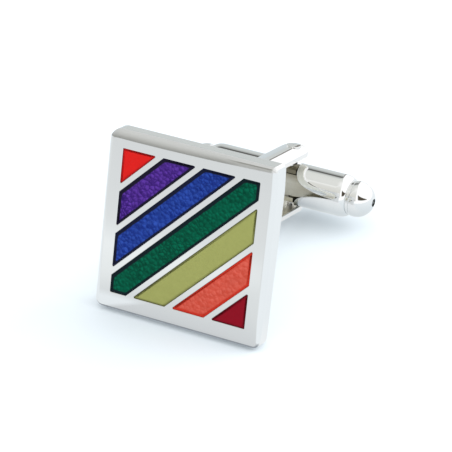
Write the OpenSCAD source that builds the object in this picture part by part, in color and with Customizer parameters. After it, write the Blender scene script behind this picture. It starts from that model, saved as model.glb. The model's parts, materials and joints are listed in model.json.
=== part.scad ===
// Square cufflink with an enamelled stripe face and a swivelling bullet toggle,
// resting on the lower back edge of the face plate and the lower end of the pin.

/* [Face plate] */
// Side of the square face plate
plate_side = 17; // [15.2:0.1:24]
// Thickness of the face plate
plate_t = 2.1; // [1.2:0.1:4]
// Radius of the face plate's softened edges
plate_round = 0.5; // [0.1:0.05:0.55]

/* [Enamel] */
// Width of the plain metal border round the enamel stripes
border_w = 1.58; // [1:0.02:1.8]
// Width of the metal ribs between the stripes
rib_w = 0.515; // [0.2:0.005:0.53]
// Height of the two corner triangles as a share of a stripe's width
corner_share = 1.037; // [0.9:0.001:1.2]
// Depth of the cells that hold the enamel
cell_depth = 0.6; // [0.2:0.05:1]
// How far the enamel lies below the metal's face
enamel_drop = 0.04; // [0:0.01:0.15]

/* [Post] */
// Distance from the face to the pin's axis
pin_reach = 22.1; // [19.5:0.1:30]
// Height of the post's middle above the plate's middle
post_rise = 0.3; // [0:0.1:1.5]
// Width of the post's arms
arm_w = 3; // [2:0.1:3.6]
// Thickness of an arm along its middle
arm_t = 0.9; // [0.7:0.05:1.3]
// Height of the rounded crown on an arm's outer side
arm_crown = 0.4; // [0.25:0.05:0.6]
// Gap between the two arms
arm_gap = 4.95; // [4.5:0.05:6]
// Thickness of the bridge that joins the arms at their foot
bridge_t = 1.2; // [0.6:0.1:3]
// Radius of the round foot under the post
foot_r = 3.95; // [3.8:0.05:5]
// Thickness of the round foot
foot_t = 0.7; // [0.3:0.1:1.5]
// Width of the solder fillet round the foot
solder_w = 0.35; // [0.1:0.05:0.8]
// Height of the solder fillet on the foot's side
solder_h = 0.3; // [0.1:0.05:0.3]

/* [Pin] */
// Radius of the pin
pin_r = 0.6; // [0.5:0.05:0.65]
// Radius of the pin's riveted heads
head_r = 0.72; // [0.68:0.02:0.9]
// Depth of the countersink that a head fills
head_sink = 0.3; // [0.2:0.05:0.45]
// Height of a head's dome above the arm
head_dome = 0.12; // [0.1:0.01:0.2]

/* [Toggle] */
// Length of the toggle from end to end
toggle_len = 20; // [18.4:0.1:24]
// Radius of the toggle's round body
toggle_r = 2.09; // [1.95:0.01:2.1]
// How far the toggle's middle lies to the left of its pin
toggle_shift = 0.9; // [0:0.1:1]
// How far the toggle lies below the middle of the arms' gap
toggle_drop = 0.3; // [0:0.02:0.3]
// Radius of the hollow behind the slot in each half of the toggle
hollow_r = 1.75; // [1.45:0.05:1.8]
// How far the hollow runs past the slot's pointed end
hollow_run = 0.2; // [0.1:0.05:0.3]
// Radius of the bore that holds a knob's shank
bore_r = 1.4; // [1.2:0.05:1.5]
// Radius of the shoulder at each end of the body
shoulder_r = 0.45; // [0.1:0.05:0.5]
// Radius of the ball at each end of the toggle
ball_r = 1.8; // [1.65:0.05:2]
// Radius of the blind hole in the end of each ball
dimple_r = 0.38; // [0.2:0.02:0.5]
// Depth of the blind hole below the ball's tip
dimple_depth = 0.7; // [0.3:0.05:1]
// Width of the groove between body and ball
groove_w = 0.3; // [0.1:0.05:0.6]
// Depth of the groove below the body's surface
groove_d = 0.49; // [0.1:0.01:0.6]
// Distance from the pointed end of the slot to the nearer end of the body
slot_end = 1.1; // [0.8:0.1:2]
// Half length of the recessed core round the pin
core_half = 1; // [0.95:0.05:1.4]
// Depth of the recess round the core
core_step = 0.2; // [0.1:0.02:0.3]
// Distance from the pin's axis to the flat front of the core
core_front = 1; // [0.9:0.02:1.3]

/* [Spring] */
// Thickness of the leaf spring
spring_t = 0.2; // [0.1:0.02:0.25]
// Width of the leaf spring
spring_w = 2.2; // [1:0.1:2.4]
// Distance from the end of the leaf spring to the pointed end of the slot
spring_end = 0.6; // [0.4:0.1:2]
// How far the spring's ends stand in front of its middle
spring_rise = 0.25; // [0:0.05:0.3]

/* [Hidden] */
$fn = 96;

// Cuts run past the faces that they open by this much
overrun = 0.5;
// Clearance of a pressed or filled fit
fit_gap = 0.01;
// Running clearance round the pin
run_gap = 0.02;
// Clearance between the leaf spring and the round of the pin
spring_gap = 0.04;
// Number of stripes on each side of the middle one
side_stripes = 3;
field_side = plate_side - 2 * border_w;
// The stripes and the two corner triangles fill the field's diagonal, with a rib between each two
stripe_w = (field_side * sqrt(2) - 2 * side_stripes * rib_w) / (2 * side_stripes - 1 + 2 * corner_share);
stripe_pitch = stripe_w + rib_w;

plate_half = plate_side / 2;
bridge_y = plate_t + foot_t;
slot_y = bridge_y + bridge_t;
arm_end = pin_reach + arm_w / 2;
arm_half = arm_gap / 2 + arm_t;
// Radius of the circle whose arc is the crown of an arm
crown_r = (arm_w * arm_w / 4 + arm_crown * arm_crown) / (2 * arm_crown);
// Radius of the sphere whose cap is the dome of a pin head
dome_r = (head_r * head_r + head_dome * head_dome) / (2 * head_dome);

// Ends of the toggle's body and centres of its balls, measured from the pin
ball_out = toggle_len / 2 - ball_r;
body_out = ball_out - groove_w * 2;
body_left = -body_out - toggle_shift;
body_right = body_out - toggle_shift;
neck_r = toggle_r - groove_d;
slot_reach = body_right - slot_end;
knob_shank = slot_end * 0.8;
core_r = toggle_r - core_step;
channel_half = spring_w * 0.55;
pin_flat = pin_r * 0.75;
spring_back = pin_r + spring_gap;
spring_half = slot_reach - spring_end;

// The slot's edge is a hyperbola that runs from its pointed end towards the core
slot_points = 14;
slot_flare = 0.3;
slot_run = slot_reach - core_half + slot_flare * 1.85;
slot_depth = toggle_r + overrun;
function slot_half(s) = slot_flare * s / (slot_run - s);
function slot_edge(h) = slot_run * h / (slot_flare + h);

// It rests on the round of the plate's lower back edge and on the dome of the pin's lower head
dome_z = post_rise - (arm_half + head_dome - dome_r);
rest_y = pin_reach - (plate_t - plate_round);
rest_z = dome_z + plate_half - plate_round;
lean = atan2(rest_z, rest_y) - asin((dome_r - plate_round) / norm([rest_y, rest_z]));
front_y = plate_round * cos(lean) - (plate_half - plate_round) * sin(lean) - plate_round;
back_y = arm_end * cos(lean) + (post_rise + arm_half - arm_crown) * sin(lean);
seat_x = toggle_shift;
seat_y = -(front_y + back_y) / 2;
seat_z = dome_r + pin_reach * sin(lean) - dome_z * cos(lean);

// The parts are shaped with the face at y = 0, then leaned back to where they rest
module seated() {
    translate([seat_x, seat_y, seat_z]) rotate([-lean, 0, 0]) children();
}

// Turns a flat outline drawn in x and z into a slab from y = from to y = to
module slab(from, to) {
    translate([0, to, 0]) rotate([90, 0, 0]) linear_extrude(to - from) children();
}

// Turns what is drawn along z to lie along x
module along_x() {
    rotate([0, 90, 0]) children();
}

// Turns what is drawn along z to lie along y
module along_y() {
    rotate([-90, 0, 0]) children();
}

module rounded_outline(w, h, r) {
    square([w - 2 * r, h], center = true);
    square([w, h - 2 * r], center = true);
    for (sx = [-1, 1], sy = [-1, 1]) {
        translate([sx * (w / 2 - r), sy * (h / 2 - r)]) circle(r);
    }
}

// Outline of one enamel cell: a band across the field, or the corner past the last rib
module cell_outline(i, gap) {
    intersection() {
        square(field_side - 2 * gap, center = true);
        rotate(-45) translate([i * stripe_pitch, 0]) {
            if (abs(i) < side_stripes) {
                square([stripe_w - 2 * gap, 2 * field_side], center = true);
            } else {
                translate([sign(i) * (field_side / 2 - stripe_w / 2 + gap), 0])
                    square([field_side, 2 * field_side], center = true);
            }
        }
    }
}

module enamel(i) {
    seated() slab(enamel_drop, cell_depth) cell_outline(i, fit_gap);
}

module face_plate() {
    color("silver") seated() difference() {
        translate([0, plate_t / 2, 0]) intersection() {
            slab(-plate_t / 2, plate_t / 2) rounded_outline(plate_side, plate_side, plate_round);
            linear_extrude(plate_side, center = true) rounded_outline(plate_side, plate_t, plate_round);
            along_x() linear_extrude(plate_side, center = true)
                rounded_outline(plate_side, plate_t, plate_round);
        }
        for (i = [-side_stripes : side_stripes]) {
            slab(-overrun, cell_depth) cell_outline(i, 0);
        }
    }
}

module enamel_red() {
    color("orangered") enamel(-3);
}

module enamel_purple() {
    color("indigo") enamel(-2);
}

module enamel_blue() {
    color("darkblue") enamel(-1);
}

module enamel_green() {
    color("darkgreen") enamel(0);
}

module enamel_olive() {
    color("darkkhaki") enamel(1);
}

module enamel_coral() {
    color("coral") enamel(2);
}

module enamel_crimson() {
    color("firebrick") enamel(3);
}

// Half of the section through both arms: flat sides and a crowned top
module crowned_half() {
    intersection() {
        translate([-arm_w / 2, -overrun]) square([arm_w, arm_half + overrun]);
        translate([0, arm_half - crown_r]) circle(crown_r, $fn = 360);
    }
}

// The round end of an arm, whose crown falls away to all sides
module crowned_end() {
    intersection() {
        translate([0, 0, -overrun]) cylinder(h = arm_half + overrun, r = arm_w / 2);
        translate([0, 0, arm_half - crown_r]) sphere(crown_r);
    }
}

module post_frame() {
    color("gainsboro") seated() translate([0, 0, post_rise]) difference() {
        union() {
            slab(bridge_y, pin_reach) {
                crowned_half();
                mirror([0, 1]) crowned_half();
            }
            translate([0, pin_reach, 0]) {
                crowned_end();
                mirror([0, 0, 1]) crowned_end();
            }
        }
        translate([0, slot_y + arm_gap / 2, 0])
            along_x() cylinder(h = arm_w + 2 * overrun, r = arm_gap / 2, center = true);
        translate([-arm_w / 2 - overrun, slot_y + arm_gap / 2, -arm_gap / 2])
            cube([arm_w + 2 * overrun, arm_end, arm_gap]);
        translate([0, pin_reach, 0])
            cylinder(h = 2 * arm_half + 2 * overrun, r = pin_r + fit_gap, center = true);
        for (side = [0, 1]) {
            mirror([0, 0, side]) translate([0, pin_reach, arm_half - head_sink])
                cylinder(h = head_sink + overrun, r = head_r + fit_gap);
        }
    }
}

module post_foot() {
    color("silver") seated() translate([0, plate_t, post_rise]) along_y() cylinder(h = foot_t, r = foot_r);
}

module solder_joint() {
    color("lightgray") seated() translate([0, plate_t, post_rise]) along_y() rotate_extrude()
        translate([foot_r + fit_gap, 0]) polygon([[0, 0], [solder_w, 0], [0, solder_h]]);
}

// The pin runs through both arms; four flats in its middle give the toggle its click
module hinge_pin() {
    color("whitesmoke") seated() translate([0, pin_reach, post_rise]) {
        difference() {
            cylinder(h = 2 * arm_half - 2 * head_sink + overrun / 2, r = pin_r, center = true);
            for (turn = [0 : 90 : 270]) {
                rotate(turn) translate([pin_flat, -pin_r, -toggle_drop - spring_w / 2])
                    cube([pin_r, 2 * pin_r, spring_w]);
            }
        }
        for (side = [0, 1]) {
            mirror([0, 0, side]) {
                translate([0, 0, arm_half - head_sink]) cylinder(h = head_sink, r = head_r);
                intersection() {
                    translate([0, 0, arm_half + head_dome - dome_r]) sphere(dome_r);
                    translate([0, 0, arm_half - head_dome]) cylinder(h = 2 * head_dome, r = head_r);
                }
            }
        }
    }
}

// Places what is shaped round the pin's axis at the toggle's height
module on_pin() {
    seated() translate([0, pin_reach, post_rise - toggle_drop]) children();
}

// A round bar along x from x1 to x2, with rounded shoulders at its ends
module shouldered_bar(x1, x2, r, shoulder) {
    translate([x1, 0, 0]) along_x() rotate_extrude() intersection() {
        translate([0, (x2 - x1) / 2]) rounded_outline(2 * r, x2 - x1, shoulder);
        square([r, x2 - x1]);
    }
}

// A plain round bar along x from x1 to x2
module bar(x1, x2, r) {
    translate([x1, 0, 0]) along_x() cylinder(h = x2 - x1, r = r);
}

// Half of the slot's outline: from its pointed end the edges flare towards the core
module slot_outline() {
    edge_s = slot_edge(slot_depth);
    points = [for (k = [0 : slot_points]) edge_s * (1 - pow(1 - k / slot_points, 2))];
    polygon(concat([[0, slot_depth]],
        [for (k = [slot_points : -1 : 1]) [slot_reach - points[k], slot_half(points[k])]],
        [[slot_reach, 0]],
        [for (k = [1 : slot_points]) [slot_reach - points[k], -slot_half(points[k])]],
        [[0, -slot_depth]]));
}

module toggle_bar() {
    color("gainsboro") on_pin() difference() {
        union() {
            difference() {
                shouldered_bar(body_left, body_right, toggle_r, shoulder_r);
                bar(body_left - overrun, body_right + overrun, bore_r);
                bar(-slot_reach - hollow_run, slot_reach + hollow_run, hollow_r);
                slab(-slot_depth, 0) {
                    slot_outline();
                    mirror([1, 0]) slot_outline();
                }
                bar(-core_half, core_half, toggle_r + overrun);
            }
            difference() {
                bar(-core_half, core_half, core_r);
                translate([-toggle_r, -core_front - toggle_r, -toggle_r])
                    cube([2 * toggle_r, toggle_r, 2 * toggle_r]);
                translate([-toggle_r, -core_front - toggle_r, -channel_half])
                    cube([2 * toggle_r, toggle_r + core_front - pin_flat, 2 * channel_half]);
            }
        }
        cylinder(h = 2 * toggle_r + 2 * overrun, r = pin_r + run_gap, center = true);
    }
}

// A knob along x: a shank that fills the bore, a neck, and a ball with a small hole in its tip
module end_knob() {
    tip = 2 * groove_w + ball_r;
    translate([body_out, 0, 0]) difference() {
        union() {
            bar(-knob_shank, groove_w, bore_r - fit_gap);
            bar(0, groove_w, neck_r);
            intersection() {
                translate([2 * groove_w, 0, 0]) sphere(ball_r);
                bar(groove_w, tip, ball_r + overrun);
            }
        }
        bar(tip - dimple_depth, tip + overrun, dimple_r);
    }
}

module end_knob_left() {
    color("silver") on_pin() translate([-toggle_shift, 0, 0]) mirror([1, 0, 0]) end_knob();
}

module end_knob_right() {
    color("silver") on_pin() translate([-toggle_shift, 0, 0]) end_knob();
}

// A strip that lies in the core's channel and runs out into both hollow halves
module leaf_spring() {
    tip_back = spring_back + spring_rise;
    bend = core_half * 1.1;
    color("darkgray") on_pin() intersection() {
        linear_extrude(spring_w, center = true) polygon([
            [-spring_half, -tip_back], [-bend, -spring_back], [bend, -spring_back], [spring_half, -tip_back],
            [spring_half, -tip_back - spring_t], [bend, -spring_back - spring_t],
            [-bend, -spring_back - spring_t], [-spring_half, -tip_back - spring_t]]);
        slab(-toggle_r, 0) polygon([
            [-spring_half, -spring_w * 0.15], [-bend, -spring_w / 2], [bend, -spring_w / 2],
            [spring_half, -spring_w * 0.15], [spring_half, spring_w * 0.15], [bend, spring_w / 2],
            [-bend, spring_w / 2], [-spring_half, spring_w * 0.15]]);
    }
}

face_plate();
enamel_red();
enamel_purple();
enamel_blue();
enamel_green();
enamel_olive();
enamel_coral();
enamel_crimson();
post_frame();
post_foot();
solder_joint();
hinge_pin();
toggle_bar();
end_knob_left();
end_knob_right();
leaf_spring();
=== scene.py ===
import json
from math import acos, asin, atan2, copysign, cos, degrees, dist, pi, radians, sin, sqrt
import bpy
from mathutils import Matrix, Vector
from mathutils.geometry import tessellate_polygon


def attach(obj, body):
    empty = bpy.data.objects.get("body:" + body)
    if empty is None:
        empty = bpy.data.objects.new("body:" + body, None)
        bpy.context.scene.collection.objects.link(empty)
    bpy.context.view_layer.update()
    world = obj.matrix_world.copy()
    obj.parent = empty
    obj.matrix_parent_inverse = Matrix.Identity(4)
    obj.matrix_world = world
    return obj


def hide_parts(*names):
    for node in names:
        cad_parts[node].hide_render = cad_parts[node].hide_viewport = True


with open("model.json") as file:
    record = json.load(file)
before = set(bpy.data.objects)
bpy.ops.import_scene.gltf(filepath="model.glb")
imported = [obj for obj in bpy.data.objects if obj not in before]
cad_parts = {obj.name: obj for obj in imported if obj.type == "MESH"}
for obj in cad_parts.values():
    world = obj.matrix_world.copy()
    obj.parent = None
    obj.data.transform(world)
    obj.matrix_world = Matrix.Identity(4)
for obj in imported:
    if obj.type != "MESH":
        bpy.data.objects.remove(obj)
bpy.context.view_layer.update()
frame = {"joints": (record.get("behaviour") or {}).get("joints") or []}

mm = 0.001

# The pieces are shaped in millimetres with the plate upright (x right, y back from the face, z up),
# then share the placement in which the cufflink lies on the table, taken from the toggle's joint
pinReach = 22.1
swivel = frame["joints"][0]
lying = Matrix.Rotation(-atan2(swivel["axis"][1], swivel["axis"][2]), 4, "X")
lying.translation = Vector(swivel["pos_m"]) - lying @ Vector((0, pinReach * mm, 0))


def addObject(name, data):
    made = bpy.data.objects.new(name, data)
    bpy.context.collection.objects.link(made)
    return made


# The camera: angles in degrees round the spot that it aims at, distances in metres
camera = {"azimuth": 28.1055, "elevation": 31.7424, "roll": -0.9212, "distance": 0.224456,
          "aim": (0.004027, -0.008537, 0.009546), "lens": 199.204, "film": 36, "clip": (0.01, 20)}


def makeCamera():
    az, el, roll = (radians(camera[k]) for k in ("azimuth", "elevation", "roll"))
    back = Vector((sin(az) * cos(el), -cos(az) * cos(el), sin(el)))
    level = Vector((0, 0, 1)).cross(back).normalized()
    rise = back.cross(level)
    right = level * cos(roll) + rise * sin(roll)
    up = back.cross(right)
    data = bpy.data.cameras.new("camera")
    data.lens, data.sensor_width = camera["lens"], camera["film"]
    data.clip_start, data.clip_end = camera["clip"]
    cam = addObject("camera", data)
    spot = Vector(camera["aim"]) + back * camera["distance"]
    cam.matrix_world = Matrix(((right.x, up.x, back.x, spot.x), (right.y, up.y, back.y, spot.y),
                               (right.z, up.z, back.z, spot.z), (0, 0, 0, 1)))
    bpy.context.scene.camera = cam


makeCamera()
bpy.context.scene.view_settings.view_transform = "Standard"
print("camera placed")


# A shape is a list of points with their normals, and faces between them
def newShape():
    return {"points": [], "normals": [], "faces": []}


def addGrid(shape, rows, closed=False, skip=None):
    # rows of (point, normal) pairs, all of one length, joined by four-sided faces
    start, n = len(shape["points"]), len(rows[0])
    for row in rows:
        shape["points"] += [p for p, _ in row]
        shape["normals"] += [q for _, q in row]
    for r in range(len(rows) - 1):
        for i in range(n if closed else n - 1):
            if not (skip and skip(r, i)):
                a, b = start + r * n + i, start + r * n + (i + 1) % n
                shape["faces"].append((a, b, b + n, a + n))


def addFlat(shape, loops, normal):
    # a flat face with an outer loop and any holes in it
    start = len(shape["points"])
    for loop in loops:
        shape["points"] += loop
        shape["normals"] += [normal] * len(loop)
    shape["faces"] += [tuple(start + i for i in t) for t in tessellate_polygon(loops)]


def addCopy(shape, source, mirrored=None):
    # mirrored is the number of the axis that is turned round, if any
    flip = Vector([-1 if k == mirrored else 1 for k in range(3)])
    start = len(shape["points"])
    shape["points"] += [p * flip for p in source["points"]]
    shape["normals"] += [q * flip for q in source["normals"]]
    shape["faces"] += [tuple(start + i for i in f) for f in source["faces"]]


def bothHalves(source, axis):
    shape = newShape()
    addCopy(shape, source)
    addCopy(shape, source, axis)
    return shape


def pointsOf(row):
    return [p for p, _ in row]


def sweep(path, profile, place):
    # path: (u, v, outward u, outward v); profile: (inset, height, tilt), tilt 0 faces outward and 90 upward
    rows = []
    for inset, height, tilt in profile:
        c, s = cos(radians(tilt)), sin(radians(tilt))
        rows.append([(place(Vector((u - a * inset, v - b * inset, height))), place(Vector((a * c, b * c, s))))
                     for u, v, a, b in path])
    return rows


def squareOf(h):
    return [Vector((-h, -h)), Vector((h, -h)), Vector((h, h)), Vector((-h, h))]


def roundedLoop(corners, radii, steps):
    # a convex outline, anticlockwise, with its corners rounded; each point has its outward direction
    path = []
    for k, p in enumerate(corners):
        radius = radii[k % len(radii)]
        d1, d2 = (p - corners[k - 1]).normalized(), (corners[(k + 1) % len(corners)] - p).normalized()
        n1, n2 = Vector((d1.y, -d1.x)), Vector((d2.y, -d2.x))
        turn = d1.angle(d2)
        centre = p - (n1 + n2) * (radius / (1 + cos(turn)))
        for i in range(steps + 1):
            a = atan2(n1.y, n1.x) + turn * i / steps
            path.append((centre.x + radius * cos(a), centre.y + radius * sin(a), cos(a), sin(a)))
    return path


def circlePath(radius, steps):
    turn = [2 * pi * i / steps for i in range(steps)]
    return [(radius * cos(a), radius * sin(a), cos(a), sin(a)) for a in turn]


def arc(centreInset, centreHeight, radius, fromTilt, toTilt, steps):
    # rows of a profile that go round an edge
    tilts = [fromTilt + (toTilt - fromTilt) * i / steps for i in range(steps + 1)]
    return [(centreInset - radius * cos(radians(t)), centreHeight + radius * sin(radians(t)), t)
            for t in tilts]


def faceOn(v):       # drawn on the face: u is x, v is z, height comes towards the viewer
    return Vector((v.x, -v.z, v.y))


def fromBack(v):     # drawn on the back: height goes away from the face
    return Vector((v.x, v.z, v.y))


def asPlan(v):       # drawn in plan: u is x, v is y, height is z
    return v.copy()


def alongX(v):       # turned round the toggle's axis: height is x
    return Vector((v.z, v.x, v.y))


def finishPiece(name, shape, material, body, replaced, shift=(0, 0, 0)):
    # the normals are given, and each face is turned to the side that they show
    points = [(p + Vector(shift)) * mm for p in shape["points"]]
    normals = [q.normalized() for q in shape["normals"]]
    faces = []
    for f in shape["faces"]:
        across = Vector()
        for i in range(1, len(f) - 1):
            across += (points[f[i]] - points[f[0]]).cross(points[f[i + 1]] - points[f[0]])
        if across.length >= 1e-13:       # a face of no size is left out
            facing = sum((normals[i] for i in f), Vector())
            faces.append(f if across.dot(facing) > 0 else f[::-1])
    mesh = bpy.data.meshes.new(name)
    mesh.from_pydata(points, [], faces)
    mesh.polygons.foreach_set("use_smooth", [True] * len(mesh.polygons))
    mesh.normals_split_custom_set_from_vertices(normals)
    mesh.materials.append(material)
    piece = addObject(name, mesh)
    piece.matrix_world = lying
    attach(piece, body)
    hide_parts(replaced)


# Materials are put together from nodes with the functions that follow
def toLinear(rgb):
    shares = [v / 255 for v in rgb]
    return [c / 12.92 if c <= 0.04045 else ((c + 0.055) / 1.055) ** 2.4 for c in shares] + [1]


def newMaterial(name):
    material = bpy.data.materials.new(name)
    material.use_nodes = True
    tree = material.node_tree
    return material, tree, tree.nodes["Principled BSDF"]


def plug(made, **inputs):
    # inputs go by name, with _ for a space, or by number as i0, i1 and so on
    for key, value in inputs.items():
        numbered = key[0] == "i" and key[1:].isdigit()
        socket = made.inputs[int(key[1:]) if numbered else key.replace("_", " ")]
        if isinstance(value, bpy.types.NodeSocket):
            made.id_data.links.new(value, socket)
        else:
            socket.default_value = value


def node(kind, settings=None, tree=None, **inputs):
    # without a tree it goes where its inputs come from
    tree = tree or next(v.id_data for v in inputs.values() if isinstance(v, bpy.types.NodeSocket))
    made = tree.nodes.new(kind)
    for key, value in (settings or {}).items():
        setattr(made, key, value)
    plug(made, **inputs)
    return made


def maths(operation, a, b=0.0, clamp=False):
    return node("ShaderNodeMath", {"operation": operation, "use_clamp": clamp}, i0=a, i1=b).outputs[0]


def plus(a, b):
    return maths("ADD", a, b)


def minus(a, b):
    return maths("SUBTRACT", a, b)


def times(a, *factors):
    for b in factors:
        a = maths("MULTIPLY", a, b)
    return a


def larger(a, b):
    return maths("MAXIMUM", a, b)


def unsigned(a):
    return maths("ABSOLUTE", a)


def mixColour(factor, a, b, blend="MIX"):
    return node("ShaderNodeMix", {"data_type": "RGBA", "blend_type": blend}, i0=factor, i6=a, i7=b).outputs[2]


def mixValue(factor, a, b):
    return node("ShaderNodeMix", {"data_type": "FLOAT"}, i0=factor, i2=a, i3=b).outputs[0]


def slope(value, low, high):
    # 0 at low and 1 at high
    return node("ShaderNodeMapRange", Value=value, From_Min=low, From_Max=high).outputs[0]


def fade(value, span):
    # the same between two lengths in millimetres
    return slope(value, span[0] * mm, span[1] * mm)


def window(value, low, high, soft):
    return times(slope(value, low - soft, low + soft), slope(value, high + soft, high - soft))


def objectSpot(tree):
    return node("ShaderNodeTexCoord", tree=tree).outputs["Object"]


def splitUp(vector):
    return node("ShaderNodeSeparateXYZ", Vector=vector).outputs


def noise(where, scale, detail, roughness=0.5, output="Fac"):
    return node("ShaderNodeTexNoise", Vector=where, Scale=scale, Detail=detail,
                Roughness=roughness).outputs[output]


def newGroup(name, ins, outs):
    # ins are pairs of a name and a first value; every socket is a single number
    group = bpy.data.node_groups.new(name, "ShaderNodeTree")
    for label, value in ins:
        group.interface.new_socket(label, in_out="INPUT", socket_type="NodeSocketFloat").default_value = value
    for label in outs:
        group.interface.new_socket(label, in_out="OUTPUT", socket_type="NodeSocketFloat")
    return group, group.nodes.new("NodeGroupInput").outputs, group.nodes.new("NodeGroupOutput")


def placeGroup(tree, group, **values):
    return node("ShaderNodeGroup", {"node_tree": group}, tree, **values).outputs


def makePolishGroup():
    # What a buffing wheel leaves: soft ripples, hair lines and a few duller patches
    group, gin, gout = newGroup("polishMarks", [
        ("Ripple Size", 900.0), ("Ripple", 0.3), ("Line Scale", 2500.0), ("Lines", 0.2), ("Roughness", 0.05),
        ("Dulling", 0.04)], ["Height", "Roughness"])
    where = objectSpot(group)
    ripple = noise(where, gin["Ripple Size"], 1.5, 0.4)
    stretched = node("ShaderNodeMapping", Vector=where, Scale=(0.06, 1, 1), Rotation=(0.1, 0.5, 0.35))
    sharp = maths("POWER", noise(stretched.outputs[0], gin["Line Scale"], 2.0), 3.0)
    patches = maths("SUBTRACT", noise(where, 350.0, 3.0), 0.45, True)
    high = plus(times(ripple, gin["Ripple"]), times(sharp, gin["Lines"]))
    dull = plus(times(patches, gin["Dulling"]), times(sharp, gin["Dulling"]))
    plug(gout, Height=high, Roughness=plus(gin["Roughness"], dull))
    return group


polishMarks = makePolishGroup()

# How the plating looks where it is best polished; each metal's own dictionary starts from this one.
# In all looks bumpDepth is in metres and a scale is per metre, and other lengths are in millimetres
polished = {"colour": (0.87, 0.875, 0.875), "tone": 0.98, "toneScale": 260.0, "roughness": 0.045,
            "dulling": 0.04, "rippleSize": 380.0, "ripple": 0.35, "lineScale": 2300.0, "lines": 0.04,
            "bump": 0.16, "bumpDepth": 0.0001}


def makeMetal(name, look, finish=None):
    # finish adds what differs from place to place
    material, tree, shader = newMaterial(name)
    marks = placeGroup(tree, polishMarks, Ripple_Size=look["rippleSize"], Ripple=look["ripple"],
                       Line_Scale=look["lineScale"], Lines=look["lines"], Roughness=look["roughness"],
                       Dulling=look["dulling"])
    bump = node("ShaderNodeBump", Strength=look["bump"], Distance=look["bumpDepth"], Height=marks["Height"])
    where, rough = objectSpot(tree), marks["Roughness"]
    full, low = (tuple(c * share for c in look["colour"]) + (1,) for share in (1, look["tone"]))
    colour = mixColour(noise(where, look["toneScale"], 2.0), full, low)
    plug(shader, Metallic=1.0, Normal=bump.outputs[0])
    if finish:
        colour, rough = finish(shader, look, splitUp(where), colour, rough)
    plug(shader, Base_Color=colour, Roughness=rough)
    return material


# The face plate, in millimetres
plate = {"side": 17, "thick": 2.1, "border": 1.58, "stripe": 2.33, "rib": 0.515,
         "corners": (0.9, 0.6, 0.42, 1.0),      # from the lower left one round to the right
         "pinched": 0.2, "pinchedFrom": 6.3,    # how far the upper right corner is drawn in
         "sideEdge": 0.52, "lowEdge": 0.2,      # radii of the front edge
         "topEdge": (0.7, 0.15, 0.13),          # its radius at the top's middle, and its fall to the right
         "rear": 0.5, "rearSpread": 0.34,       # radius of the rear edge, and how much less it is at the top
         "cellCorner": 0.09, "lip": 0.05, "cellWall": 0.3, "cellDepth": 0.6,
         "enamelDrop": 0.04, "enamelGap": 0.012}
plateLook = dict(polished, colour=(0.86, 0.868, 0.87), roughness=0.035, dulling=0.05, rippleSize=420.0,
                 ripple=0.25, lineScale=2600.0, bump=0.1,
                 satinSide=0.12, satinEdge=0.6, satinBack=0.4, satinBackAt=(1.7, 2.08),
                 # the edge colours and masks below paint shade on the rounded top edge, with its crease line
                 # and facet
                 edgeColour=(0.757, 0.762, 0.756, 1), edgeSoft=(0.03, -0.08), rimSoft=(0.02, -0.02),
                 edgeEnd=(8.0, 7.8), seamColour=(0.4, 0.4, 0.38, 1), seamAt=(-0.8, -0.04), seamPower=2.2,
                 seamShade=0.85, facetFrom=(3.2, 4.8), facetShade=0.38, facetSoft=(-0.02, 0.02),
                 creaseAt=0.57, creaseSoft=(0.07, 0.03))
pitch = plate["stripe"] + plate["rib"]
fieldHalf = plate["side"] / 2 - plate["border"]


def plateFinish(shader, look, at, colour, rough):
    # the plate's top, bottom and back are less sharply polished than its face
    half, (first, even, faster) = plate["side"] / 2, plate["topEdge"]
    fall = times(at["X"], plus(times(at["X"], faster / half ** 2 / mm), even / half))
    radius = minus(first * mm, fall)
    past = minus(minus(half * mm, at["Z"]), radius)       # below the line where the round ends
    onTop = fade(past, look["rimSoft"])
    turned = times(fade(minus(at["Y"], radius), look["edgeSoft"]), onTop)
    satin = mixValue(turned, times(onTop, look["satinSide"]), look["satinEdge"])
    satin = larger(satin, times(fade(at["Y"], look["satinBackAt"]), look["satinBack"]))
    # painted shade: the rounded top edge is coloured darker, fading out at its right end
    rounded = times(turned, fade(at["X"], look["edgeEnd"]))
    colour = mixColour(rounded, colour, look["edgeColour"])
    # and it is painted darker still towards the line where it meets the face
    seamShading = times(maths("POWER", fade(past, look["seamAt"]), look["seamPower"]), look["seamShade"])
    # towards the right it breaks into a narrow facet below a crease, drawn as painted shade: a dark line on
    # the crease and a darker facet
    above = plus(past, times(radius, look["creaseAt"]))
    crease = fade(unsigned(above), look["creaseSoft"])
    facet = times(fade(above, look["facetSoft"]), look["facetShade"])
    shade = mixValue(fade(at["X"], look["facetFrom"]), seamShading, larger(crease, facet))
    colour = mixColour(times(shade, rounded), colour, look["seamColour"])
    return colour, larger(rough, satin)


def cellCorners(band, gap):
    # the field's square, cut to where (x - z) / sqrt 2 is within half a stripe of band * pitch;
    # band 0 is the middle stripe, and the first and last bands reach to the field's corners
    outline = squareOf(fieldHalf - gap)
    across, reach = Vector((1, -1)).normalized(), plate["stripe"] / 2 - gap
    limits = [(across, band * pitch - reach)] if band > -3 else []
    if band < 3:
        limits.append((-across, -band * pitch - reach))
    for direction, least in limits:
        kept = []
        for k, p in enumerate(outline):
            q = outline[(k + 1) % len(outline)]
            dp, dq = p.dot(direction) - least, q.dot(direction) - least
            if dp >= 0:
                kept.append(p)
            if dp * dq < 0:
                kept.append(p + (q - p) * (dp / (dp - dq)))
        outline = kept
    return outline


def spotsAlong(here, there):
    # a long straight side gets spots along it, so that what changes along the side does so evenly
    steps = 8 if dist(here[:2], there[:2]) > 5 else 1
    return [here] + [(*(a + (b - a) * i / steps for a, b in zip(here[:2], there[:2])), *there[2:])
                     for i in range(1, steps)]


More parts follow.
